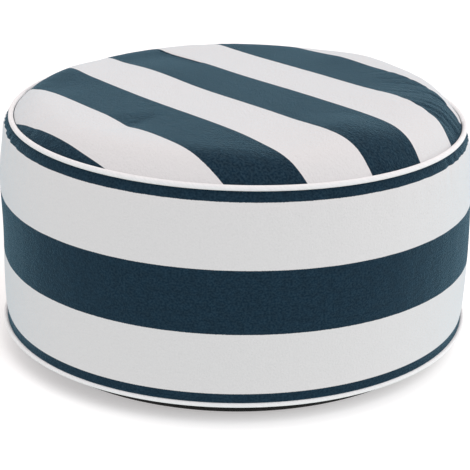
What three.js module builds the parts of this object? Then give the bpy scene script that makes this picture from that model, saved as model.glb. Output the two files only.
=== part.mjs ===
import * as THREE from 'three';

// Round inflatable pouf in a fitted, piped cloth cover. Millimetres, +Z up,
// +Y to the back, +X to the right. Origin: centre of the underside, on the floor.

const SIDES = 72;
const CORD_SIDES = 8;
const CORD_RADIUS = 2.8;
const CLOTH_TO_CORD = 0.5;
const PANEL_GAP = 0.4;

// The two sewn seams, given at the centre of the piping that is caught in each.
const LOWER_SEAM = { radius: 264, height: 28.5 };
const UPPER_SEAM = { radius: 251.9, height: 258.5 };

// The upper seam leans: its rise per millimetre to the right and to the back,
// and how far its ring sits to the right of the lower one.
const LEAN = { right: -0.018, back: 0.037, shift: 2.2 };
const CENTRED_SHARE = 0.15;

// Share of its width that the upper seam loses beside its middle, and twice
// as much towards the back.
const NARROWING = 0.008;

// Height of the crown over the upper seam, width of its rounded shoulder, and
// the slope of its flat middle.
const CROWN = { rise: 24.5, shoulder: 55.1, right: 0.055, back: -0.0135 };
const CROWN_RINGS = [0, 0.18, 0.34, 0.48, 0.6, 0.7, 0.77, 0.82, 0.86, 0.895, 0.925, 0.955, 0.98, 1];

// Soft swells (+) and hollows (-) of the inflated crown, from its centre.
const SWELLS = [
  { x: -85, y: 70, reach: 60, rise: 2.8 },
  { x: -112, y: -130, reach: 28, rise: -2.8 },
  { x: 40, y: -210, reach: 40, rise: -3.8 },
  { x: 115, y: -150, reach: 40, rise: 5 },
  { x: 175, y: -50, reach: 45, rise: 4 },
  { x: 195, y: 60, reach: 40, rise: 3.8 },
  { x: 150, y: 140, reach: 50, rise: 4.8 },
  { x: -105, y: 170, reach: 45, rise: -3.2 },
  { x: -165, y: 140, reach: 45, rise: -5 },
  { x: -215, y: 15, reach: 40, rise: -4.5 },
];

// Underside: a flat disc on the floor, and a rounded shoulder up to the seam.
const BASE_FLAT_RADIUS = 213.6;
const BASE_RINGS = [0, 0.22, 0.42, 0.6, 0.74, 0.87, 1];

// Belly of the side band: its widest ring and up-and-down radius, how it rolls
// in under the upper seam, and how full it is just above the lower seam.
const BELLY = { radius: 265, height: 108, bend: 1320 };
const ROLL = { start: 230, end: 255.5, depth: 5.4 };
const FOOT = { fullness: 2.8, reach: 18 };
const BAND_HEIGHTS = [34.5, 40, 48, 60, 80, 108, 140, 170, 195, 215, 230, 239, 246, 252];

// Swells (+) and hollows (-) of the side band. Turns run from the front to the
// right, in degrees, and around is in degrees too.
const SIDE_SWELLS = [
  { turn: -100, height: 252.5, around: 38, up: 11, rise: 5.8 },
  { turn: -82, height: 205, around: 35, up: 40, rise: 3 },
  { turn: -80, height: 125, around: 35, up: 45, rise: -1.7 },
  { turn: -90, height: 31, around: 34, up: 14, rise: -5.6 },
  { turn: 90, height: 31, around: 34, up: 14, rise: -5 },
];
const GROOVE_STEPS = 5;

const CLOTH_WHITE = 0xdcdbd9;
const PIPING_WHITE = 0xf0efec;
const BASE_BLACK = 0x161616;

const groove = CORD_RADIUS + CLOTH_TO_CORD;
const crownRim = UPPER_SEAM.radius - groove;
const baseRim = LOWER_SEAM.radius - groove;
const crownFloor = UPPER_SEAM.height + PANEL_GAP / 2;
const bandTop = UPPER_SEAM.height - PANEL_GAP / 2;
const bandBottom = LOWER_SEAM.height + PANEL_GAP / 2;
const baseTop = LOWER_SEAM.height - PANEL_GAP / 2;

function point(radius, height) {
  return new THREE.Vector2(radius, height);
}

// Points on the groove that the cloth makes round one cord, from one angle to
// another, in degrees: 0 is outward, 90 is up.
function grooveArc(seam, from, to) {
  const arc = [];
  for (let step = 0; step <= GROOVE_STEPS; step += 1) {
    const angle = THREE.MathUtils.degToRad(from + (to - from) * step / GROOVE_STEPS);
    arc.push(point(seam.radius + groove * Math.cos(angle), seam.height + groove * Math.sin(angle)));
  }
  return arc;
}

// Moves a point of the straight drum to where the leaning drum has it.
function lean(vertex) {
  const span = UPPER_SEAM.height - LOWER_SEAM.height;
  const share = THREE.MathUtils.clamp((vertex.z - LOWER_SEAM.height) / span, 0, 1);
  vertex.z += share * (LEAN.right * vertex.x + LEAN.back * vertex.y);
  vertex.x *= 1 - NARROWING * share ** 12 * (1 + vertex.y / UPPER_SEAM.radius);
  vertex.x += LEAN.shift * (share - CENTRED_SHARE);
}

// Height that the slope, swells and hollows add to the even crown.
function crownUnevenness(x, y) {
  const out = Math.hypot(x, y) / crownRim;
  let height = (CROWN.right * x + CROWN.back * y) * (1 - out ** 2);
  for (const swell of SWELLS) {
    const away = Math.hypot(x - swell.x, y - swell.y) / swell.reach;
    height += swell.rise * Math.exp(-(away ** 2)) * (1 - out ** 8);
  }
  return height;
}

// Closed solid turned about +Z from a profile, then shaped point by point.
function turned(profile, shape) {
  const geometry = new THREE.LatheGeometry(profile, SIDES);
  geometry.rotateX(Math.PI / 2);
  const positions = geometry.getAttribute('position');
  const vertex = new THREE.Vector3();
  for (let index = 0; index < positions.count; index += 1) {
    vertex.fromBufferAttribute(positions, index);
    shape(vertex);
    positions.setXYZ(index, vertex.x, vertex.y, vertex.z);
  }
  geometry.deleteAttribute('uv');
  geometry.computeVertexNormals();
  return geometry;
}

// Radius of the side band's profile at one height.
function bandRadius(height) {
  const belly = (height - BELLY.height) ** 2 / (2 * BELLY.bend);
  const roll = THREE.MathUtils.clamp((height - ROLL.start) / (ROLL.end - ROLL.start), 0, 1);
  const foot = Math.exp(-(((height - LOWER_SEAM.height) / FOOT.reach) ** 2));
  return BELLY.radius - belly - ROLL.depth * roll ** 3 + FOOT.fullness * foot;
}

// How far the swells and hollows push a point of the side band out.
function bandUnevenness(vertex) {
  let outward = 0;
  for (const swell of SIDE_SWELLS) {
    const turn = THREE.MathUtils.radToDeg(Math.atan2(vertex.x, -vertex.y)) - swell.turn;
    const aside = (THREE.MathUtils.euclideanModulo(turn + 180, 360) - 180) / swell.around;
    const above = (vertex.z - swell.height) / swell.up;
    outward += swell.rise * Math.exp(-(aside ** 2) - above ** 2);
  }
  const seam = Math.min(vertex.z - LOWER_SEAM.height, UPPER_SEAM.height - vertex.z);
  return outward * THREE.MathUtils.clamp((seam - 2) / 4, 0, 1);
}

function sideBand() {
  const profile = [
    point(0, bandBottom),
    point(baseRim, bandBottom),
    ...grooveArc(LOWER_SEAM, 180, 50).slice(1),
    ...BAND_HEIGHTS.map((height) => point(bandRadius(height), height)),
    ...grooveArc(UPPER_SEAM, 265, 180).slice(0, -1),
    point(crownRim, bandTop),
    point(0, bandTop),
  ];
  return turned(profile, (vertex) => {
    const wider = 1 + bandUnevenness(vertex) / Math.max(Math.hypot(vertex.x, vertex.y), 1);
    lean(vertex);
    vertex.x *= wider;
    vertex.y *= wider;
  });
}

function topPanel() {
  const profile = [point(0, crownFloor)];
  for (const ring of [...CROWN_RINGS].reverse()) {
    const inShoulder = Math.max(0, ring * crownRim - (crownRim - CROWN.shoulder)) / CROWN.shoulder;
    profile.push(point(ring * crownRim, crownFloor + CROWN.rise * (1 - inShoulder ** 3)));
  }
  return turned(profile, (vertex) => {
    if (vertex.z > crownFloor + PANEL_GAP) {
      vertex.z += crownUnevenness(vertex.x, vertex.y);
    }
    const rise = vertex.z - crownFloor;
    vertex.z = crownFloor;
    lean(vertex);
    vertex.z += rise;
  });
}

function basePanel() {
  const profile = [point(0, 0)];
  for (const ring of BASE_RINGS) {
    const radius = BASE_FLAT_RADIUS + (baseRim - BASE_FLAT_RADIUS) * ring;
    profile.push(point(radius, baseTop * ring ** 2));
  }
  profile.push(point(0, baseTop));
  return turned(profile, lean);
}

// Ring of piping cord lying in one seam.
function piping(seam) {
  const section = [];
  for (let side = 0; side <= CORD_SIDES; side += 1) {
    const angle = 2 * Math.PI * (side % CORD_SIDES) / CORD_SIDES;
    section.push(point(seam.radius + CORD_RADIUS * Math.cos(angle),
      seam.height + CORD_RADIUS * Math.sin(angle)));
  }
  return turned(section, lean);
}

function named(name, geometry, color, roughness) {
  const material = new THREE.MeshStandardMaterial({ color, roughness, metalness: 0 });
  const mesh = new THREE.Mesh(geometry, material);
  mesh.name = name;
  return mesh;
}

const pouf = new THREE.Group();
pouf.add(named('base_panel', basePanel(), BASE_BLACK, 0.9));
pouf.add(named('bottom_piping', piping(LOWER_SEAM), PIPING_WHITE, 0.85));
pouf.add(named('side_band', sideBand(), CLOTH_WHITE, 0.9));
pouf.add(named('top_piping', piping(UPPER_SEAM), PIPING_WHITE, 0.85));
pouf.add(named('top_panel', topPanel(), CLOTH_WHITE, 0.9));

export default pouf;
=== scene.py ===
import math
import random

import bpy
import numpy as np
from mathutils import Matrix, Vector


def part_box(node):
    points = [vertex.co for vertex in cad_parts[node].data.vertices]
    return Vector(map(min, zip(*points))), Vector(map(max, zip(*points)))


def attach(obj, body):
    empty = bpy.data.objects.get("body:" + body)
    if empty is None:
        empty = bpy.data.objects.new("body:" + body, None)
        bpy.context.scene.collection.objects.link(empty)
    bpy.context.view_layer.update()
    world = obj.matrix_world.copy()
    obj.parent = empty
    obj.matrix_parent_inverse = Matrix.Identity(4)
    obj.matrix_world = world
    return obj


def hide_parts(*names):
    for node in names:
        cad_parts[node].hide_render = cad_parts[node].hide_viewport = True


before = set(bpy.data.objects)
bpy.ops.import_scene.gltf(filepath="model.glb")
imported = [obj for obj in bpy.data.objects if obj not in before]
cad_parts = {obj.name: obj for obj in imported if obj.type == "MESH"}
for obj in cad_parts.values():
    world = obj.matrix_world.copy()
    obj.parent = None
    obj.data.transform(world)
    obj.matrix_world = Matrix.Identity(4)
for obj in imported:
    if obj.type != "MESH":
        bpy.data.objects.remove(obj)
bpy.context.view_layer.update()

bl_info = {
    "name": "Piped Inflatable Pouf",
    "version": (1, 0, 0),
    "blender": (4, 5, 0),
    "location": "3D View > Sidebar > Pouf",
    "description": "Makes the striped, piped cover of a round inflatable pouf",
    "category": "Add Mesh",
}


def cord_of(node):
    """Radius of the piping, read from the level ring, and the radius and middle height of this ring."""
    low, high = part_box(node)
    thick = (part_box("bottom_piping")[1].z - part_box("bottom_piping")[0].z) / 2
    return thick, (high.y - low.y) / 2 - thick, (low.z + high.z) / 2


PIPING_RADIUS, LOWER_RADIUS, LOWER_HEIGHT = cord_of("bottom_piping")
PIPING_RADIUS, UPPER_RADIUS, UPPER_HEIGHT = cord_of("top_piping")

# Cloth stops this far from the middle of a cord, and filled pieces stop this far from each other.
GROOVE = PIPING_RADIUS + 0.0003
PANEL_GAP = 0.0004

# Where the crown and the base end against the cords.
CROWN_RIM = UPPER_RADIUS - GROOVE
BASE_RIM = LOWER_RADIUS - GROOVE

# Faces round each piece, and the hole that a turned piece keeps at its poles until it is closed.
CROWN_SIDES = 256
BAND_SIDES = 288
BASE_SIDES = 256
CORD_SIDES = (480, 16)
POLE_HOLE = 0.006

# Distance from one ring of faces to the next on the cloth that shows, and on the flat discs that don't.
CROWN_STEP = 0.005
BAND_STEP = 0.0055
BASE_STEP = 0.004
FLAT_STEP = 0.02
HIDDEN_STEP = 0.06

# How far from a seam the first even ring of the crown and of the band lies, and how close the rings are that
# keep the crown's rim and the hidden discs' rims sharp.
CROWN_START = 0.003
BAND_START = 0.006
CROWN_RIM_RING = 0.0008
DISC_RIM_RING = 0.0012

# The upper seam leans: rise per metre to the right and to the back, its shift to the right of the lower one,
# and the share of this shift by which the lower one lies to the left.
LEAN_RIGHT = -0.018
LEAN_BACK = 0.037
LEAN_SHIFT = 0.0022
CENTRED_SHARE = 0.15

# Share of its width that the upper seam loses beside its middle, and twice as much towards the back.
NARROWING = 0.008

# Belly of the side band: widest ring, its up-and-down radius, and how it rolls in under the upper seam,
# from where it starts to where it ends below the seam.
WIDEST_RADIUS = 0.265
WIDEST_HEIGHT = 0.108
BELLY_RADIUS = 1.32
ROLL_START = 0.230
ROLL_END = UPPER_HEIGHT - 0.003
ROLL_DEPTH = 0.0054

# Fullness of the side band just above the lower seam, and how high it reaches.
FOOT_FULLNESS = 0.0028
FOOT_REACH = 0.018

# Where the side band lies against the cords: angles round each cord from straight out, in degrees.
LOWER_LAP = (150, 120, 90, 68, 50)
UPPER_LAP = (262, 240, 210)

# Share of its lap on the lower cord that the side band loses at the left and the right, where more of the
# cord shows.
LAP_LOSS = 0.55

# Soft swells (+) and hollows (-) of the inflated crown.
SWELLS = (
    {"x": -0.085, "y": 0.070, "reach": 0.060, "rise": 0.0028},
    {"x": -0.112, "y": -0.130, "reach": 0.028, "rise": -0.0028},
    {"x": 0.040, "y": -0.210, "reach": 0.040, "rise": -0.0038},
    {"x": 0.115, "y": -0.150, "reach": 0.040, "rise": 0.0050},
    {"x": 0.175, "y": -0.050, "reach": 0.045, "rise": 0.0040},
    {"x": 0.195, "y": 0.060, "reach": 0.040, "rise": 0.0038},
    {"x": 0.150, "y": 0.140, "reach": 0.050, "rise": 0.0048},
    {"x": -0.105, "y": 0.170, "reach": 0.045, "rise": -0.0032},
    {"x": -0.165, "y": 0.140, "reach": 0.045, "rise": -0.0050},
    {"x": -0.215, "y": 0.015, "reach": 0.040, "rise": -0.0045},
)

# Swells (+) and hollows (-) of the side band. Turns run from the front to the right, in degrees.
SIDE_SWELLS = (
    {"turn": -100, "height": 0.2525, "around": 38, "up": 0.011, "rise": 0.0058},
    {"turn": -82, "height": 0.205, "around": 35, "up": 0.040, "rise": 0.0030},
    {"turn": -80, "height": 0.125, "around": 35, "up": 0.045, "rise": -0.0017},
    {"turn": -90, "height": 0.031, "around": 34, "up": 0.014, "rise": -0.0056},
    {"turn": 90, "height": 0.031, "around": 34, "up": 0.014, "rise": -0.0050},
)

# How far the stripes of the side band rise at the left end: its turn, how far round it reaches, and the rise.
STRIPE_LIFT = {"turn": -90, "around": 20, "rise": 0.006}

# Narrow creases (-) and ridges (+) pressed into the crown, each from its start to its end.
CREASES = (
    {"start": (-0.122, -0.140), "end": (-0.096, -0.112), "width": 0.0095, "rise": -0.0008},
    {"start": (-0.0952, 0.1773), "end": (-0.0497, 0.1203), "width": 0.0030, "rise": -0.0026},
    {"start": (-0.0984, 0.1748), "end": (-0.0528, 0.1178), "width": 0.0024, "rise": 0.0010},
)

# Small puckers where the cloth is gathered into the upper seam, at turns from first to last.
PUCKERS = (
    {"panel": "band", "first": -112, "last": -62, "count": 18, "depth": 0.0021, "reach": 0.026},
    {"panel": "band", "first": -62, "last": 58, "count": 20, "depth": 0.0004, "reach": 0.018},
    {"panel": "band", "first": 58, "last": 112, "count": 20, "depth": 0.0018, "reach": 0.028},
    {"panel": "band", "first": 112, "last": 248, "count": 32, "depth": 0.0009, "reach": 0.022},
    {"panel": "crown", "first": 66, "last": 112, "count": 15, "depth": 0.0020, "reach": 0.060},
    {"panel": "crown", "first": -120, "last": -60, "count": 16, "depth": 0.0008, "reach": 0.035},
    {"panel": "crown", "first": -60, "last": 66, "count": 16, "depth": 0.0003, "reach": 0.022},
    {"panel": "crown", "first": 112, "last": 240, "count": 26, "depth": 0.0007, "reach": 0.030},
)

# How much the puckers of one row differ: place, half width, lean, and shares of the row's reach and depth.
PUCKER_PLACE = (0.1, 0.9)
PUCKER_WIDTH = (0.0030, 0.0055)
PUCKER_LEAN = (-0.25, 0.25)
PUCKER_REACH = (0.6, 1.2)
PUCKER_DEPTH = (0.4, 1)

# How close to a seam the side band stays plain, how far its swells and the puckers take to fade in, and how
# high over its hidden underside the crown's cloth starts.
PLAIN_EDGE = 0.002
SWELL_FADE = 0.004
BAND_PUCKER_FADE = 0.006
CROWN_PUCKER_FADE = 0.004
CROWN_CLEAR = 0.001

# How far a pucker draws the band's stripes down, as a share of its depth.
STRIPE_PULL = 0.3

# Share of the cloth's movement that is left where it is drawn tight, how far the seam's gathers reach, and
# the frames that the cloth takes to settle.
TIGHT_SHARE = 0.3
GATHER_REACH = 0.035
SETTLING_FRAMES = 20

# Length along and across the threads of the uneven spots in the canvas, the drag in the piping and the wear
# in the base.
HEATHER = (0.0090, 0.0070)
WARP_YARN = (0.0008, 0.014)
WEFT_YARN = (0.014, 0.0008)
EDGE_WAVER = (0.0011, 0.02)
PIPING_DRAG = (0.0022, 0.012)
BASE_WEAR = (0.012, 0.009)

# How far a stripe's edge wavers and how softly it ends, the depth of the weave, and the pitch of the base's.
WAVER_WIDTH = 0.0007
EDGE_SOFTNESS = 0.0002
WEAVE_DEPTH = 0.00012
BASE_WEAVE_DEPTH = 0.00015
BASE_THREAD = 0.0009

# Width of the floor, how far it lies under the pouf, and the size and distance of the softbox that lights it.
FLOOR_WIDTH = 16
FLOOR_DROP = 0.0002
SOFTBOX_SIZE = 1.5
SOFTBOX_AWAY = 3


class PoufShape(bpy.types.PropertyGroup):
    crown_rise: bpy.props.FloatProperty(
        name="Crown Rise", description="Height of the crown over the upper seam",
        default=0.0245, unit="LENGTH")
    crown_shoulder: bpy.props.FloatProperty(
        name="Crown Shoulder", description="Width of the crown's rounded edge",
        default=0.0551, unit="LENGTH")
    crown_right: bpy.props.FloatProperty(
        name="Crown Slope Right", description="Slope of the crown's middle to the right",
        default=0.055)
    crown_back: bpy.props.FloatProperty(
        name="Crown Slope Back", description="Slope of the crown's middle to the back", default=-0.0135)
    base_flat: bpy.props.FloatProperty(
        name="Underside Flat", description="Radius of the flat disc that lies on the floor",
        default=0.2136, unit="LENGTH")
    slack: bpy.props.FloatProperty(
        name="Cloth Slack", description="How much longer the cloth is cut than the shape needs",
        default=0.003, min=0, max=0.05)
    pressure: bpy.props.FloatProperty(
        name="Air Pressure", description="Pressure that blows the cloth out", default=4.0, min=0)
    crown_give: bpy.props.FloatProperty(
        name="Crown Give", description="Farthest that gathers may move a point of the crown",
        default=0.0022, unit="LENGTH")
    band_give: bpy.props.FloatProperty(
        name="Band Give", description="Farthest that gathers may move a point of the side band",
        default=0.0012, unit="LENGTH")


class PoufCloth(bpy.types.PropertyGroup):
    stripe: bpy.props.FloatProperty(
        name="Stripe Width", description="Width of one stripe on the top panel",
        default=0.0698, unit="LENGTH")
    stripe_turn: bpy.props.FloatProperty(
        name="Stripe Turn", description="Turn of the top panel's stripes from running front to back",
        default=math.radians(38.6), subtype="ANGLE")
    first_edge: bpy.props.FloatProperty(
        name="First Stripe Edge", description="Distance of the first stripe edge from the middle of the top",
        default=-0.2396, unit="LENGTH")
    band_edges: bpy.props.FloatVectorProperty(
        name="Band Stripe Edges", description="Heights of the stripe edges on the side band",
        size=4, default=(0.0412, 0.1077, 0.1765, 0.2454), unit="LENGTH")
    thread: bpy.props.FloatProperty(
        name="Thread Pitch", description="Distance from one thread to the next",
        default=0.0007, unit="LENGTH")
    white: bpy.props.FloatVectorProperty(
        name="Off-white", description="Colour of the light stripes",
        subtype="COLOR", size=3, default=(0.79, 0.79, 0.795), min=0, max=1)
    navy: bpy.props.FloatVectorProperty(
        name="Navy", description="Colour of the dark stripes' darkest threads",
        subtype="COLOR", size=3, default=(0.0062, 0.0215, 0.0385), min=0, max=1)
    navy_fleck: bpy.props.FloatVectorProperty(
        name="Navy Fleck", description="Colour of the dark stripes' palest threads",
        subtype="COLOR", size=3, default=(0.0190, 0.0430, 0.0660), min=0, max=1)
    piping: bpy.props.FloatVectorProperty(
        name="Piping White", description="Colour of the piping",
        subtype="COLOR", size=3, default=(0.95, 0.96, 0.97), min=0, max=1)
    base: bpy.props.FloatVectorProperty(
        name="Base Black", description="Colour of the base panel",
        subtype="COLOR", size=3, default=(0.0035, 0.0035, 0.0035), min=0, max=1)
    sheen: bpy.props.FloatVectorProperty(
        name="Sheen", description="Colour of the light that the cloth's fibres catch at a slant",
        subtype="COLOR", size=3, default=(0.42, 0.80, 1.0), min=0, max=1)


class PoufStage(bpy.types.PropertyGroup):
    distance: bpy.props.FloatProperty(
        name="Camera Distance", description="Level distance from the camera to the middle of the pouf",
        default=1.416, unit="LENGTH")
    height: bpy.props.FloatProperty(
        name="Camera Height", description="Height of the camera over the floor",
        default=0.628, unit="LENGTH")
    pitch: bpy.props.FloatProperty(
        name="Camera Pitch", description="How far the camera looks down",
        default=math.radians(20.08), subtype="ANGLE")
    roll: bpy.props.FloatProperty(
        name="Camera Roll", description="Turn of the camera about its own view",
        default=math.radians(0.6), subtype="ANGLE")
    lens: bpy.props.FloatProperty(
        name="Focal Length", description="Focal length of the lens, in millimetres", default=100.0)
    level_light: bpy.props.FloatVectorProperty(
        name="Level Light", description="Brightness of the studio round about",
        size=3, default=(0.915, 0.920, 0.915))
    floor_light: bpy.props.FloatProperty(
        name="Floor Light", description="Power of the softbox that lights the floor, in watts",
        default=54.0)
    floor_light_turn: bpy.props.FloatProperty(
        name="Floor Light Turn",
        description="Turn of the softbox round the pouf, from the front to the right",
        default=math.radians(27), subtype="ANGLE")
    floor_light_rise: bpy.props.FloatProperty(
        name="Floor Light Rise", description="Angle of the softbox over the floor, seen from the pouf",
        default=math.radians(40), subtype="ANGLE")
    light_right: bpy.props.FloatVectorProperty(
        name="Light Right", description="How much brighter the studio is to the right",
        size=3, default=(0.23, 0.23, 0.23))
    light_sides: bpy.props.FloatVectorProperty(
        name="Light Sides", description="How much brighter the studio is at the left and the right",
        size=3, default=(0.20, 0.17, 0.17))
    light_back: bpy.props.FloatVectorProperty(
        name="Light Back", description="How much brighter the studio is to the back",
        size=3, default=(0.108, 0.105, 0.10))
    light_up: bpy.props.FloatVectorProperty(
        name="Light Up", description="How much brighter the studio is overhead",
        size=3, default=(0.215, 0.120, 0.110))
    light_behind: bpy.props.FloatVectorProperty(
        name="Light Behind", description="How much brighter the studio is high up at the back",
        size=3, default=(0.40, 0.31, 0.235))
    light_corner: bpy.props.FloatVectorProperty(
        name="Light Corner",
        description="How much brighter the studio is at the back right and the front left",
        size=3, default=(0.30, 0.30, 0.30))


def deselect_all():
    if bpy.context.mode != "OBJECT":
        bpy.ops.object.mode_set(mode="OBJECT")
    bpy.ops.object.select_all(action="DESELECT")


def pick(piece):
    deselect_all()
    piece.select_set(True)
    bpy.context.view_layer.objects.active = piece


def turned_shell(name, profile, segments):
    """Round shell, extruded ring by ring from (radius, height) points, open at both poles."""
    deselect_all()
    radius, height = profile[0]
    bpy.ops.mesh.primitive_circle_add(vertices=segments, radius=radius, location=(0, 0, 0))
    piece = bpy.context.active_object
    piece.name = name
    piece.data.name = name
    bpy.ops.object.mode_set(mode="EDIT")
    bpy.ops.mesh.select_all(action="SELECT")
    bpy.ops.transform.translate(value=(0, 0, height))
    for next_radius, next_height in profile[1:]:
        bpy.ops.mesh.extrude_region_move(
            TRANSFORM_OT_translate={"value": (0, 0, next_height - height)})
        ratio = next_radius / radius
        bpy.ops.transform.resize(value=(ratio, ratio, 1), center_override=(0, 0, next_height))
        radius, height = next_radius, next_height
    bpy.ops.object.mode_set(mode="OBJECT")
    return piece


def close_poles(piece):
    """Fills the two small holes in the middle of a turned shell, and carries its UV map over them."""
    mesh = piece.data
    corners = np.empty(len(mesh.loops), np.int32)
    mesh.loops.foreach_get("vertex_index", corners)
    laid = np.empty(2 * len(corners))
    mesh.uv_layers["cloth"].data.foreach_get("uv", laid)
    at_point = np.zeros((len(mesh.vertices), 2))
    at_point[corners] = laid.reshape(-1, 2)
    pick(piece)
    bpy.ops.object.mode_set(mode="EDIT")
    bpy.ops.mesh.select_all(action="SELECT")
    bpy.ops.mesh.fill_holes(sides=0)
    bpy.ops.mesh.select_all(action="SELECT")
    bpy.ops.mesh.normals_make_consistent(inside=False)
    bpy.ops.object.mode_set(mode="OBJECT")
    layer = mesh.uv_layers["cloth"]
    for face in mesh.polygons:
        if face.loop_total > 4:
            for corner in face.loop_indices:
                layer.data[corner].uv = at_point[mesh.loops[corner].vertex_index]


def places(piece):
    """Places of the piece's points, one row each."""
    points = np.empty(len(piece.data.vertices) * 3)
    piece.data.vertices.foreach_get("co", points)
    return points.reshape(-1, 3)


def place(piece, points):
    piece.data.vertices.foreach_set("co", np.ravel(points))
    piece.data.update()


def leaned(points):
    """Points of the straight drum where the leaning drum has them."""
    share = np.clip((points[:, 2] - LOWER_HEIGHT) / (UPPER_HEIGHT - LOWER_HEIGHT), 0, 1)
    out = points.copy()
    out[:, 2] += share * (LEAN_RIGHT * points[:, 0] + LEAN_BACK * points[:, 1])
    out[:, 0] *= 1 - NARROWING * share ** 12 * (1 + points[:, 1] / UPPER_RADIUS)
    out[:, 0] += LEAN_SHIFT * (share - CENTRED_SHARE)
    return out


def straightened(points):
    """Points near the upper seam of the leaning drum where the straight drum has them."""
    out = points.copy()
    out[:, 0] -= LEAN_SHIFT * (1 - CENTRED_SHARE)
    out[:, 0] /= 1 - NARROWING * (1 + points[:, 1] / UPPER_RADIUS)
    out[:, 2] -= LEAN_RIGHT * out[:, 0] + LEAN_BACK * out[:, 1]
    return out


def evenly(start, stop, step):
    """Places from start to stop, about a step apart."""
    return np.linspace(start, stop, max(2, 1 + round(abs(stop - start) / step)))


def hidden_disc(rim, height):
    """Profile of a flat hidden disc out to its rim, with a close ring that keeps the rim sharp."""
    inner = evenly(POLE_HOLE, rim - DISC_RIM_RING, HIDDEN_STEP)
    return [(radius, height) for radius in inner] + [(rim, height)]


def bearing(points):
    """Angle of each point round the pouf, from the front to the right."""
    return np.arctan2(points[:, 0], -points[:, 1])


def wrapped(angle):
    return (angle + math.pi) % (2 * math.pi) - math.pi


def cloth_uv(piece, rule):
    """Lays a UV map in metres on a piece: rule gives (along, across) the threads for each corner of a face.

    It is given each corner's place and the middle of its face.
    """
    mesh = piece.data
    layer = mesh.uv_layers.new(name="cloth")
    corners = np.empty(len(mesh.loops), np.int32)
    mesh.loops.foreach_get("vertex_index", corners)
    counts = np.empty(len(mesh.polygons), np.int32)
    mesh.polygons.foreach_get("loop_total", counts)
    points = places(piece)[corners]
    starts = np.concatenate([[0], np.cumsum(counts)[:-1]])
    middles = np.add.reduceat(points, starts) / counts[:, None]
    layer.data.foreach_set("uv", np.ravel(rule(points, np.repeat(middles, counts, 0))))


def pucker_depth(panel, angle, away, radius):
    """Depth of the gathered puckers at each point, away from the seam along the cloth."""
    depth = np.zeros(len(angle))
    for number, row in enumerate(PUCKERS):
        if row["panel"] != panel:
            continue
        dice = random.Random(100 + number)
        for step in range(row["count"]):
            spot = (step + dice.uniform(*PUCKER_PLACE)) / row["count"]
            middle = math.radians(row["first"] + spot * (row["last"] - row["first"]))
            width = dice.uniform(*PUCKER_WIDTH)
            slant = dice.uniform(*PUCKER_LEAN)
            reach = row["reach"] * dice.uniform(*PUCKER_REACH)
            aside = wrapped(angle - middle) * radius - slant * away
            fade = np.exp(-(np.maximum(away, 0) / reach) ** 2)
            depth += row["depth"] * dice.uniform(*PUCKER_DEPTH) * fade * np.exp(-(aside / width) ** 2)
    return depth


def gathered(away):
    """Share of the cloth's movement that is left this far from the seam, where the cloth is drawn tight."""
    return TIGHT_SHARE + (1 - TIGHT_SHARE) * np.exp(-(away / GATHER_REACH) ** 2)


def settle(piece, held, rings, give):
    """Blows the piece up for a moment, and returns how each point moved beside its ring's mean.

    No point moves farther than give.
    """
    shape = bpy.context.scene.pouf_shape
    start = places(piece)
    sewn = piece.vertex_groups.new(name="sewn")
    sewn.add([int(number) for number in np.nonzero(held)[0]], 1.0, "REPLACE")
    pick(piece)
    bpy.ops.object.modifier_add(type="CLOTH")
    cloth = piece.modifiers[-1]
    cloth.settings.quality = 4
    cloth.settings.mass = 0.3
    cloth.settings.tension_stiffness = 15
    cloth.settings.compression_stiffness = 15
    cloth.settings.bending_stiffness = 0.5
    cloth.settings.use_pressure = True
    cloth.settings.uniform_pressure_force = shape.pressure
    cloth.settings.vertex_group_mass = sewn.name
    cloth.settings.shrink_min = -shape.slack
    cloth.settings.effector_weights.gravity = 0
    cloth.point_cache.frame_start = 1
    cloth.point_cache.frame_end = SETTLING_FRAMES
    for number in range(1, SETTLING_FRAMES + 1):
        bpy.context.scene.frame_set(number)
    bpy.ops.object.modifier_apply(modifier=cloth.name)
    bpy.context.scene.frame_set(1)
    piece.vertex_groups.clear()
    moved = places(piece) - start
    place(piece, start)
    out = start[:, :2] / np.maximum(np.hypot(start[:, 0], start[:, 1]), 1e-6)[:, None]
    radial = (moved[:, :2] * out).sum(1)
    rings = rings.astype(int)
    counts = np.bincount(rings)
    moved[:, :2] -= out * (np.bincount(rings, radial) / counts)[rings][:, None]
    moved[:, 2] -= (np.bincount(rings, moved[:, 2]) / counts)[rings]
    farthest = np.linalg.norm(moved, axis=1).max()
    return moved * min(1, give / farthest)


def subdivide_once(piece):
    pick(piece)
    bpy.ops.object.modifier_add(type="SUBSURF")
    finer = piece.modifiers[-1]
    finer.levels = 1
    finer.render_levels = 1
    bpy.ops.object.modifier_apply(modifier=finer.name)


def finish_piece(piece, material, slot, *nodes):
    piece.data.materials.clear()
    piece.data.materials.append(material)
    pick(piece)
    bpy.ops.object.shade_smooth()
    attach(piece, "root")
    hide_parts(*nodes)


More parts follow.
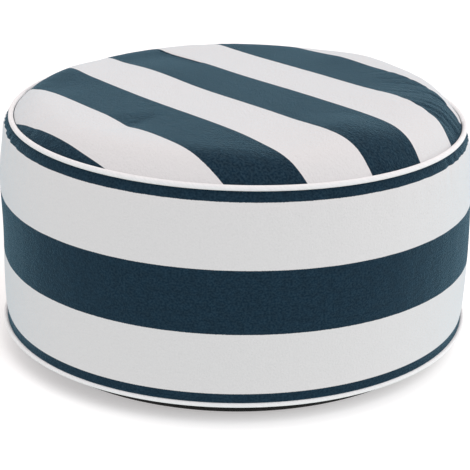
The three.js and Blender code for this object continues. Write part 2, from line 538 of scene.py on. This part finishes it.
class Finish:
    """One material, with shorthand for adding and joining its nodes."""

    def __init__(self, name):
        self.material = bpy.data.materials.new(name)
        self.material.use_nodes = True
        self.tree = self.material.node_tree
        self.shader = self.tree.nodes["Principled BSDF"]

    def add(self, kind, **settings):
        node = self.tree.nodes.new("ShaderNode" + kind)
        for name, value in settings.items():
            setattr(node, name, value)
        return node

    def feed(self, socket, value):
        if isinstance(value, bpy.types.NodeSocket):
            self.tree.links.new(value, socket)
        else:
            socket.default_value = value

    def math(self, operation, first, second=0.0, third=0.0):
        node = self.add("Math", operation=operation)
        for socket, value in zip(node.inputs, (first, second, third)):
            self.feed(socket, value)
        return node.outputs[0]

    def cloth_place(self):
        """Distances along and across the threads, in metres, from the piece's own UV map."""
        uv = self.add("UVMap", uv_map="cloth")
        split = self.add("SeparateXYZ")
        self.feed(split.inputs[0], uv.outputs[0])
        return split.outputs["X"], split.outputs["Y"]

    def spots(self, along, across, size, detail=1.0):
        """Uneven tone from 0 to 1 in spots of the given length along and across the threads."""
        length, width = size
        spot = self.add("CombineXYZ")
        self.feed(spot.inputs["X"], self.math("DIVIDE", along, length))
        self.feed(spot.inputs["Y"], self.math("DIVIDE", across, width))
        noise = self.add("TexNoise", noise_dimensions="2D")
        self.feed(noise.inputs["Vector"], spot.outputs[0])
        noise.inputs["Scale"].default_value = 1
        noise.inputs["Detail"].default_value = detail
        return noise.outputs["Fac"]

    def spread(self, value, low, high):
        """Value of 0.3 to 0.7 spread from low to high."""
        node = self.add("MapRange")
        self.feed(node.inputs["Value"], value)
        node.inputs["From Min"].default_value = 0.3
        node.inputs["From Max"].default_value = 0.7
        node.inputs["To Min"].default_value = low
        node.inputs["To Max"].default_value = high
        return node.outputs["Result"]

    def threads(self, along, across, pitch):
        """Height of a plain weave, from 0 between the threads to 1 on each crossing."""
        warp = self.math("ABSOLUTE", self.math("SINE", self.math("MULTIPLY", along, math.pi / pitch)))
        weft = self.math("ABSOLUTE", self.math("SINE", self.math("MULTIPLY", across, math.pi / pitch)))
        return self.math("MULTIPLY", warp, weft)

    def tinted(self, color, tone):
        """Colour times tone."""
        scale = self.add("VectorMath", operation="SCALE")
        self.feed(scale.inputs[0], color)
        self.feed(scale.inputs["Scale"], tone)
        return scale.outputs[0]

    def mixed(self, share, first, second):
        mix = self.add("Mix", data_type="RGBA")
        self.feed(mix.inputs["Factor"], share)
        self.feed(mix.inputs["A"], first)
        self.feed(mix.inputs["B"], second)
        return mix.outputs["Result"]

    def bump(self, height, depth):
        node = self.add("Bump")
        self.feed(node.inputs["Height"], height)
        node.inputs["Distance"].default_value = depth
        self.feed(self.shader.inputs["Normal"], node.outputs[0])


def striped_finish(name, edges, fleck_size, contrast):
    """Striped canvas: heathered navy and off-white threads, with the stripe edges at the given distances."""
    cloth = bpy.context.scene.pouf_cloth
    finish = Finish(name)
    along, across = finish.cloth_place()
    waver = finish.math("SUBTRACT", finish.spots(along, across, EDGE_WAVER, 2), 0.5)
    edge_place = finish.math("MULTIPLY_ADD", waver, WAVER_WIDTH, across)
    share = 0.0
    for number, edge in enumerate(edges):
        step = finish.add("MapRange", interpolation_type="SMOOTHSTEP")
        finish.feed(step.inputs["Value"], edge_place)
        step.inputs["From Min"].default_value = edge - EDGE_SOFTNESS
        step.inputs["From Max"].default_value = edge + EDGE_SOFTNESS
        share = finish.math("SUBTRACT" if number % 2 else "ADD", share, step.outputs["Result"])
    heather = finish.spots(along, across, HEATHER)
    fleck = finish.spots(along, across, (fleck_size, 0.85 * fleck_size))
    warp_tone = finish.spots(along, across, WARP_YARN)
    weft_tone = finish.spots(along, across, WEFT_YARN)
    weave = finish.threads(along, across, cloth.thread)
    yarn = finish.math("ADD", warp_tone, weft_tone)
    dark = finish.math("MULTIPLY", finish.spread(heather, 0.9, 1.1), finish.spread(yarn, 0.72, 1.0))
    dark = finish.math("MULTIPLY", dark, finish.math("MULTIPLY_ADD", weave, 0.35, 0.88))
    light = finish.math("MULTIPLY", finish.spread(fleck, 0.985, 1.01), finish.spread(yarn, 0.96, 1.0))
    light = finish.math("MULTIPLY", light, finish.math("MULTIPLY_ADD", weave, 0.06, 0.98))
    pale_share = finish.spread(fleck, 0.5 - contrast / 2, 0.5 + contrast / 2)
    navy = finish.mixed(pale_share, (*cloth.navy, 1), (*cloth.navy_fleck, 1))
    color = finish.mixed(share, finish.tinted(navy, dark), finish.tinted(tuple(cloth.white), light))
    finish.feed(finish.shader.inputs["Base Color"], color)
    finish.feed(finish.shader.inputs["Roughness"], finish.spread(heather, 0.78, 0.92))
    finish.shader.inputs["Specular IOR Level"].default_value = 0.05
    finish.shader.inputs["Sheen Weight"].default_value = 0.41
    finish.shader.inputs["Sheen Roughness"].default_value = 0.33
    finish.shader.inputs["Sheen Tint"].default_value = (*cloth.sheen, 1)
    height = finish.math("MULTIPLY_ADD", heather, 3.5, weave)
    finish.bump(finish.math("MULTIPLY_ADD", fleck, 4.0, height), WEAVE_DEPTH)
    return finish.material


def piping_finish():
    """Plain off-white cloth cut on the bias and drawn round a cord."""
    cloth = bpy.context.scene.pouf_cloth
    finish = Finish("piping_cloth")
    along, across = finish.cloth_place()
    warp = finish.math("MULTIPLY", finish.math("ADD", along, across), math.sqrt(0.5))
    weft = finish.math("MULTIPLY", finish.math("SUBTRACT", along, across), math.sqrt(0.5))
    weave = finish.threads(warp, weft, cloth.thread)
    drag = finish.spots(warp, weft, PIPING_DRAG)
    relief = finish.math("MULTIPLY_ADD", weave, 0.05, 0.97)
    tone = finish.math("MULTIPLY", finish.spread(drag, 0.955, 1.01), relief)
    finish.feed(finish.shader.inputs["Base Color"], finish.tinted(tuple(cloth.piping), tone))
    finish.feed(finish.shader.inputs["Roughness"], finish.spread(drag, 0.75, 0.9))
    finish.shader.inputs["Specular IOR Level"].default_value = 0.1
    finish.bump(finish.math("MULTIPLY_ADD", drag, 2.5, weave), WEAVE_DEPTH)
    return finish.material


def base_finish():
    """Plain black cloth of the base."""
    cloth = bpy.context.scene.pouf_cloth
    finish = Finish("base_cloth")
    along, across = finish.cloth_place()
    weave = finish.threads(along, across, BASE_THREAD)
    wear = finish.spots(along, across, BASE_WEAR, 3)
    relief = finish.math("MULTIPLY_ADD", weave, 0.4, 0.8)
    tone = finish.math("MULTIPLY", finish.spread(wear, 0.8, 1.3), relief)
    finish.feed(finish.shader.inputs["Base Color"], finish.tinted(tuple(cloth.base), tone))
    finish.feed(finish.shader.inputs["Roughness"], finish.spread(wear, 0.7, 0.9))
    finish.shader.inputs["Specular IOR Level"].default_value = 0.05
    finish.bump(weave, BASE_WEAVE_DEPTH)
    return finish.material


def floor_finish():
    finish = Finish("pale_floor")
    finish.shader.inputs["Base Color"].default_value = (0.66, 0.66, 0.66, 1)
    finish.shader.inputs["Roughness"].default_value = 1.0
    finish.shader.inputs["Specular IOR Level"].default_value = 0.0
    finish.shader.inputs["Emission Color"].default_value = (1, 0.975, 0.975, 1)
    finish.shader.inputs["Emission Strength"].default_value = 0.41
    return finish.material


def crown_unevenness(x, y):
    """Height that the slope and the swells give to each place of the crown."""
    shape = bpy.context.scene.pouf_shape
    out = np.minimum(np.hypot(x, y) / CROWN_RIM, 1)
    height = (shape.crown_right * x + shape.crown_back * y) * (1 - out ** 2)
    for swell in SWELLS:
        away = np.hypot(x - swell["x"], y - swell["y"]) / swell["reach"]
        height += swell["rise"] * np.exp(-away ** 2) * (1 - out ** 8)
    return height


def crease_height(x, y):
    """Height that the creases and ridges give to each place of the crown."""
    height = np.zeros(len(x))
    for crease in CREASES:
        start = np.array(crease["start"])
        line = np.array(crease["end"]) - start
        length = np.linalg.norm(line)
        along = ((x - start[0]) * line[0] + (y - start[1]) * line[1]) / length
        aside = ((y - start[1]) * line[0] - (x - start[0]) * line[1]) / length
        past = np.maximum(np.maximum(-along, along - length), 0)
        fade = np.exp(-(past / (2 * crease["width"])) ** 2)
        height += crease["rise"] * fade * np.exp(-(aside / crease["width"]) ** 2)
    return height


def crown_slope(radius):
    """How steeply the crown's shoulder falls at this distance from the middle."""
    shape = bpy.context.scene.pouf_shape
    past = np.clip((radius - CROWN_RIM) / shape.crown_shoulder + 1, 0, 1)
    return 3 * shape.crown_rise / shape.crown_shoulder * past ** 2


def unrolled(radius):
    """Distance from the middle of the crown along the cloth."""
    places_out = np.linspace(0, CROWN_RIM, 400)
    lengths = np.cumsum(np.sqrt(1 + crown_slope(places_out) ** 2)) * places_out[1]
    return np.interp(radius, places_out, lengths - lengths[0])


class POUF_OT_top_panel(bpy.types.Operator):
    """Make the crowned, striped top panel"""
    bl_idname = "pouf.top_panel"
    bl_label = "Top Panel"

    def execute(self, context):
        shape = context.scene.pouf_shape
        cloth = context.scene.pouf_cloth
        floor = UPPER_HEIGHT + PANEL_GAP / 2
        profile = hidden_disc(CROWN_RIM, floor)
        hidden = len(profile) * CROWN_SIDES
        outer = CROWN_RIM - CROWN_RIM_RING
        for radius in [outer, *evenly(CROWN_RIM - CROWN_START, POLE_HOLE, CROWN_STEP)]:
            past = max(0, (radius - CROWN_RIM) / shape.crown_shoulder + 1)
            profile.append((radius, floor + shape.crown_rise * (1 - past ** 3)))
        piece = turned_shell("top_panel_cloth", profile, CROWN_SIDES)

        def rule(corners, middles):
            radius = np.hypot(corners[:, 0], corners[:, 1])
            ratio = unrolled(radius) / np.maximum(radius, 1e-6)
            u = corners[:, 0] * ratio
            v = corners[:, 1] * ratio
            turn = cloth.stripe_turn
            return np.stack([v * math.cos(turn) - u * math.sin(turn),
                             u * math.cos(turn) + v * math.sin(turn)], 1)

        cloth_uv(piece, rule)
        points = places(piece)
        rings = np.arange(len(points)) // CROWN_SIDES
        seen = np.arange(len(points)) >= hidden
        x, y = points[:, 0], points[:, 1]
        rise = points[:, 2] - floor + np.where(seen, crown_unevenness(x, y), 0)
        base = points.copy()
        base[:, 2] = floor
        out = leaned(base)
        out[:, 2] += rise
        place(piece, out)
        away = unrolled(CROWN_RIM) - unrolled(np.hypot(x, y))
        out += settle(piece, ~seen, rings, shape.crown_give) * gathered(away)[:, None]
        place(piece, out)
        subdivide_once(piece)
        self.gather(piece)
        close_poles(piece)
        edges = [cloth.first_edge + cloth.stripe * step for step in range(7)]
        canvas = striped_finish("striped_canvas_top", edges, fleck_size=0.0026, contrast=1.1)
        finish_piece(piece, canvas, "striped_cloth", "top_panel")
        return {"FINISHED"}

    def gather(self, piece):
        """Presses the creases and the seam's puckers into the crown."""
        points = places(piece)
        flat = straightened(points)
        radius = np.maximum(np.hypot(flat[:, 0], flat[:, 1]), 1e-6)
        away = unrolled(CROWN_RIM) - unrolled(radius)
        slope = crown_slope(radius)
        above = flat[:, 2] > UPPER_HEIGHT + CROWN_CLEAR
        share = np.clip(away / CROWN_PUCKER_FADE, 0, 1) * above
        dent = share * pucker_depth("crown", bearing(flat), away, CROWN_RIM) / np.sqrt(1 + slope ** 2)
        points[:, 0] -= dent * slope * flat[:, 0] / radius
        points[:, 1] -= dent * slope * flat[:, 1] / radius
        points[:, 2] += share * crease_height(flat[:, 0], flat[:, 1]) - dent
        place(piece, points)


def band_radius(height):
    """Radius of the side band's profile."""
    belly = (height - WIDEST_HEIGHT) ** 2 / (2 * BELLY_RADIUS)
    roll = max(0, (height - ROLL_START) / (ROLL_END - ROLL_START))
    foot = math.exp(-((height - LOWER_HEIGHT) / FOOT_REACH) ** 2)
    return WIDEST_RADIUS - belly - ROLL_DEPTH * roll ** 3 + FOOT_FULLNESS * foot


def lap(radius, height, angles):
    """Profile of the cloth where it lies on a cord."""
    return [(radius + GROOVE * math.cos(angle), height + GROOVE * math.sin(angle))
            for angle in np.radians(angles)]


def turns_aside(points, spot):
    """How far round each point lies from the middle of a swell or a lift, in parts of its reach."""
    turn = wrapped(bearing(points) - math.radians(spot["turn"]))
    return np.degrees(turn) / spot["around"]


def band_unevenness(points):
    """How far the swells push each point of the side band out."""
    out = np.zeros(len(points))
    for swell in SIDE_SWELLS:
        above = (points[:, 2] - swell["height"]) / swell["up"]
        out += swell["rise"] * np.exp(-turns_aside(points, swell) ** 2 - above ** 2)
    seam = np.minimum(points[:, 2] - LOWER_HEIGHT, UPPER_HEIGHT - points[:, 2])
    return out * np.clip((seam - PLAIN_EDGE) / SWELL_FADE, 0, 1)


class POUF_OT_side_band(bpy.types.Operator):
    """Make the striped side band"""
    bl_idname = "pouf.side_band"
    bl_label = "Side Band"

    def execute(self, context):
        shape = context.scene.pouf_shape
        cloth = context.scene.pouf_cloth
        bottom = LOWER_HEIGHT + PANEL_GAP / 2
        top = UPPER_HEIGHT - PANEL_GAP / 2
        profile = hidden_disc(BASE_RIM, bottom)
        first_lap = len(profile) * BAND_SIDES
        profile += lap(LOWER_RADIUS, LOWER_HEIGHT, LOWER_LAP)
        first_free = len(profile) * BAND_SIDES
        for height in evenly(LOWER_HEIGHT + BAND_START, UPPER_HEIGHT - BAND_START, BAND_STEP):
            profile.append((band_radius(height), height))
        last_free = len(profile) * BAND_SIDES
        profile += lap(UPPER_RADIUS, UPPER_HEIGHT, UPPER_LAP)
        profile += reversed(hidden_disc(CROWN_RIM, top))
        piece = turned_shell("side_band_cloth", profile, BAND_SIDES)

        def rule(corners, middles):
            turn = bearing(middles)
            around = turn + wrapped(bearing(corners) - turn)
            pulled = pucker_depth("band", bearing(corners), UPPER_HEIGHT - corners[:, 2], WIDEST_RADIUS)
            lifted = STRIPE_LIFT["rise"] * np.exp(-turns_aside(corners, STRIPE_LIFT) ** 2)
            return np.stack([around * WIDEST_RADIUS, corners[:, 2] - STRIPE_PULL * pulled - lifted], 1)

        cloth_uv(piece, rule)
        points = places(piece)
        self.draw_back(points[first_lap:first_free])
        order = np.arange(len(points))
        free = (order >= first_free) & (order < last_free)
        away = UPPER_HEIGHT - points[:, 2]
        outward = points * (1, 1, 0) / np.hypot(points[:, 0], points[:, 1])[:, None]
        out = leaned(points)
        out += outward * np.where(free, band_unevenness(points), 0)[:, None]
        place(piece, out)
        out += settle(piece, ~free, order // BAND_SIDES, shape.band_give) * gathered(away)[:, None]
        place(piece, out)
        subdivide_once(piece)
        self.gather(piece)
        close_poles(piece)
        canvas = striped_finish("striped_canvas_band", cloth.band_edges, fleck_size=0.0023, contrast=0.85)
        finish_piece(piece, canvas, "striped_cloth", "side_band")
        return {"FINISHED"}

    def draw_back(self, lapped):
        """Turns the points that lap the lower cord back round it at the left and the right."""
        outward = lapped[:, :2] / np.hypot(lapped[:, 0], lapped[:, 1])[:, None]
        wrap = math.pi - np.radians(np.repeat(LOWER_LAP, BAND_SIDES))
        angle = math.pi - wrap * (1 - LAP_LOSS * outward[:, 0] ** 6)
        lapped[:, :2] = outward * (LOWER_RADIUS + GROOVE * np.cos(angle))[:, None]
        lapped[:, 2] = LOWER_HEIGHT + GROOVE * np.sin(angle)

    def gather(self, piece):
        """Presses the seam's puckers into the band."""
        points = places(piece)
        flat = straightened(points)
        away = UPPER_HEIGHT - flat[:, 2]
        radius = np.maximum(np.hypot(flat[:, 0], flat[:, 1]), 1e-6)
        outside = radius > CROWN_RIM + PLAIN_EDGE
        share = np.clip((away - PLAIN_EDGE) / BAND_PUCKER_FADE, 0, 1) * outside
        dent = share * pucker_depth("band", bearing(flat), away, WIDEST_RADIUS)
        points[:, 0] -= dent * flat[:, 0] / radius
        points[:, 1] -= dent * flat[:, 1] / radius
        place(piece, points)


class POUF_OT_pipings(bpy.types.Operator):
    """Make the two piping cords"""
    bl_idname = "pouf.pipings"
    bl_label = "Pipings"

    def execute(self, context):
        material = piping_finish()
        for node, radius, height in (("bottom_piping", LOWER_RADIUS, LOWER_HEIGHT),
                                     ("top_piping", UPPER_RADIUS, UPPER_HEIGHT)):
            deselect_all()
            bpy.ops.mesh.primitive_torus_add(
                major_radius=radius, minor_radius=PIPING_RADIUS,
                major_segments=CORD_SIDES[0], minor_segments=CORD_SIDES[1], generate_uvs=False)
            piece = context.active_object
            piece.name = node + "_cord"
            piece.data.name = piece.name

            def rule(corners, middles):
                turn = bearing(middles)
                around = turn + wrapped(bearing(corners) - turn)
                lift = np.arctan2(middles[:, 2], np.hypot(middles[:, 0], middles[:, 1]) - radius)
                corner_lift = np.arctan2(corners[:, 2], np.hypot(corners[:, 0], corners[:, 1]) - radius)
                across = lift + wrapped(corner_lift - lift)
                return np.stack([around * radius, across * PIPING_RADIUS], 1)

            cloth_uv(piece, rule)
            points = places(piece)
            points[:, 2] += height
            place(piece, leaned(points))
            finish_piece(piece, material, "piping_cloth", node)
        return {"FINISHED"}


class POUF_OT_base_panel(bpy.types.Operator):
    """Make the black base panel"""
    bl_idname = "pouf.base_panel"
    bl_label = "Base Panel"

    def execute(self, context):
        shape = context.scene.pouf_shape
        top = LOWER_HEIGHT - PANEL_GAP / 2
        profile = [(radius, 0.0) for radius in evenly(POLE_HOLE, shape.base_flat, FLAT_STEP)]
        for radius in evenly(shape.base_flat, BASE_RIM, BASE_STEP)[1:]:
            shoulder = (radius - shape.base_flat) / (BASE_RIM - shape.base_flat)
            profile.append((radius, top * shoulder ** 2))
        profile += [(radius, top) for radius in evenly(BASE_RIM, POLE_HOLE, HIDDEN_STEP)[1:]]
        piece = turned_shell("base_panel_cloth", profile, BASE_SIDES)
        cloth_uv(piece, lambda corners, middles: corners[:, :2])
        place(piece, leaned(places(piece)))
        close_poles(piece)
        finish_piece(piece, base_finish(), "base_cloth", "base_panel")
        return {"FINISHED"}


class POUF_OT_stage(bpy.types.Operator):
    """Set up the floor, the soft light and the camera"""
    bl_idname = "pouf.stage"
    bl_label = "Stage"

    def execute(self, context):
        stage = context.scene.pouf_stage
        deselect_all()
        bpy.ops.mesh.primitive_plane_add(size=FLOOR_WIDTH, location=(0, 0, -FLOOR_DROP))
        floor = context.active_object
        floor.name = "floor"
        floor.data.materials.append(floor_finish())
        floor.visible_diffuse = False
        floor.visible_shadow = False
        self.light(context)
        self.floor_light(context, floor)
        bpy.ops.object.camera_add()
        camera = context.active_object
        camera.name = "camera"
        camera.data.sensor_width = 36
        camera.data.lens = stage.lens
        camera.data.clip_end = 50
        camera.matrix_world = (
            Matrix.Translation((0, -stage.distance, stage.height))
            @ Matrix.Rotation(math.radians(90) - stage.pitch, 4, "X")
            @ Matrix.Rotation(stage.roll, 4, "Z"))
        context.scene.camera = camera
        context.scene.view_settings.view_transform = "Standard"
        return {"FINISHED"}

    def floor_light(self, context, floor):
        """Softbox at the front right that lights the floor alone."""
        stage = context.scene.pouf_stage
        turn, rise = stage.floor_light_turn, stage.floor_light_rise
        level = SOFTBOX_AWAY * math.cos(rise)
        bpy.ops.object.light_add(
            type="AREA",
            location=(level * math.sin(turn), -level * math.cos(turn), SOFTBOX_AWAY * math.sin(rise)),
            rotation=(math.radians(90) - rise, 0, turn))
        softbox = context.active_object
        softbox.name = "floor_softbox"
        softbox.data.size = SOFTBOX_SIZE
        softbox.data.color = (0.97, 1, 1)
        softbox.data.energy = stage.floor_light
        lit = bpy.data.collections.new("lit_floor")
        lit.objects.link(floor)
        softbox.light_linking.receiver_collection = lit

    def light(self, context):
        """Soft white studio, brighter at the sides, to the back and overhead, and most so to the right."""
        stage = context.scene.pouf_stage
        world = bpy.data.worlds.new("soft_studio")
        world.use_nodes = True
        tree = world.node_tree
        direction = tree.nodes.new("ShaderNodeTexCoord")
        axes = tree.nodes.new("ShaderNodeSeparateXYZ")
        tree.links.new(direction.outputs["Generated"], axes.inputs[0])
        right, back, up = axes.outputs
        products = []
        for first, second in ((right, right), (back, up), (right, back)):
            product = tree.nodes.new("ShaderNodeMath")
            product.operation = "MULTIPLY"
            tree.links.new(first, product.inputs[0])
            tree.links.new(second, product.inputs[1])
            products.append(product.outputs[0])
        light = tree.nodes.new("ShaderNodeRGB").outputs[0]
        light.default_value = (*stage.level_light, 1)
        sides, behind, corner = products
        for share, more in ((right, stage.light_right), (sides, stage.light_sides), (back, stage.light_back),
                            (up, stage.light_up), (behind, stage.light_behind), (corner, stage.light_corner)):
            add = tree.nodes.new("ShaderNodeVectorMath")
            add.operation = "MULTIPLY_ADD"
            tree.links.new(share, add.inputs[0])
            add.inputs[1].default_value = more
            tree.links.new(light, add.inputs[2])
            light = add.outputs[0]
        tree.links.new(light, tree.nodes["Background"].inputs["Color"])
        context.scene.world = world


class POUF_PT_panel(bpy.types.Panel):
    bl_label = "Pouf"
    bl_idname = "POUF_PT_panel"
    bl_space_type = "VIEW_3D"
    bl_region_type = "UI"
    bl_category = "Pouf"

    def draw(self, context):
        for group in (context.scene.pouf_shape, context.scene.pouf_cloth, context.scene.pouf_stage):
            box = self.layout.box()
            for name in group.__annotations__:
                box.prop(group, name)
        for operator in OPERATORS:
            self.layout.operator(operator.bl_idname)


OPERATORS = (
    POUF_OT_stage,
    POUF_OT_base_panel,
    POUF_OT_side_band,
    POUF_OT_top_panel,
    POUF_OT_pipings,
)
CLASSES = (PoufShape, PoufCloth, PoufStage) + OPERATORS + (POUF_PT_panel,)


def register():
    for entry in CLASSES:
        bpy.utils.register_class(entry)
    bpy.types.Scene.pouf_shape = bpy.props.PointerProperty(type=PoufShape)
    bpy.types.Scene.pouf_cloth = bpy.props.PointerProperty(type=PoufCloth)
    bpy.types.Scene.pouf_stage = bpy.props.PointerProperty(type=PoufStage)


def unregister():
    del bpy.types.Scene.pouf_stage
    del bpy.types.Scene.pouf_cloth
    del bpy.types.Scene.pouf_shape
    for entry in reversed(CLASSES):
        bpy.utils.unregister_class(entry)


def main():
    register()
    for operator in OPERATORS:
        group, name = operator.bl_idname.split(".")
        getattr(getattr(bpy.ops, group), name)()


if __name__ == "__main__":
    main()
